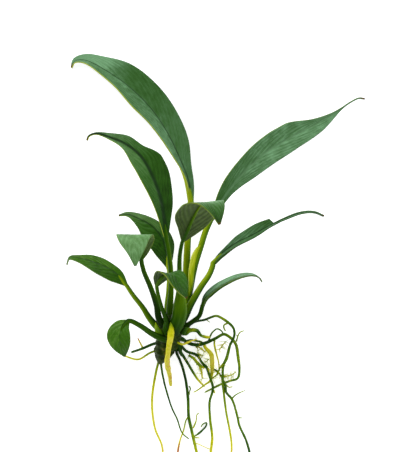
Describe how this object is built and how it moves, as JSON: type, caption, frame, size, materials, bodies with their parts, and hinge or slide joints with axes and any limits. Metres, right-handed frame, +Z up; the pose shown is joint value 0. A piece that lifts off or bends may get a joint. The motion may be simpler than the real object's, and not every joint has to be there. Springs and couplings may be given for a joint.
{
  "type": "anubias plant",
  "caption": "Small aquarium plant picked with its roots and lying flat: pointed green leaves on stalks, a short thick stem and long thin roots.",
  "frame": {"origin": "middle of the underside of the bounding box, on the surface that the plant lies on", "axes": "+Y from the roots to the leaves, +X to the right for a viewer above who has the leaves at the top, +Z up"},
  "size_m": [0.0814, 0.1138, 0.0345],
  "materials": {
    "leaf_blade": "satin, dark green with fine lengthwise veins",
    "leaf_blade_pale": "glossy, light green",
    "leaf_stalk": "satin, yellow green on one side and dark green on the other",
    "rhizome": "rough, dark green brown",
    "root_green": "satin, dark green, going yellow towards the tip",
    "root_pale": "satin, pale yellow",
    "sheath": "satin, bright yellow green"
  },
  "bodies": {
    "root": {"leaf_center_folded": "leaf_blade", "leaf_center_small": "leaf_blade", "leaf_left_folded": "leaf_blade", "leaf_low_left": "leaf_blade_pale", "leaf_low_left_small": "leaf_blade_pale", "leaf_right_low": "leaf_blade", "leaf_right_torn": "leaf_blade", "leaf_second_left": "leaf_blade", "leaf_third_left": "leaf_blade", "leaf_upper_left": "leaf_blade", "leaf_upper_right": "leaf_blade", "rhizome": "rhizome", "root_arch": "root_green", "root_arch_fork_left": "root_green", "root_arch_fork_right": "root_green", "root_brown": "root_pale", "root_inner_branch": "root_green", "root_inner_long": "root_green", "root_inner_short": "root_green", "root_kinked": "root_green", "root_left_dark": "root_green", "root_left_thin": "root_pale", "root_lower_green": "root_green", "root_lower_pale": "root_pale", "root_middle_long": "root_green", "root_pale_short": "root_pale", "root_pale_thick": "root_pale", "root_yellow": "root_pale", "root_yellow_thin": "root_pale", "sheath": "sheath", "stalk_center_folded": "leaf_stalk", "stalk_center_small": "leaf_stalk", "stalk_left_folded": "leaf_stalk", "stalk_low_left": "leaf_stalk", "stalk_low_left_small": "leaf_stalk", "stalk_right_low": "leaf_stalk", "stalk_right_torn": "leaf_stalk", "stalk_second_left": "leaf_stalk", "stalk_third_left": "leaf_stalk", "stalk_upper_left": "leaf_stalk", "stalk_upper_right": "leaf_stalk"}
  },
  "joints": []
}
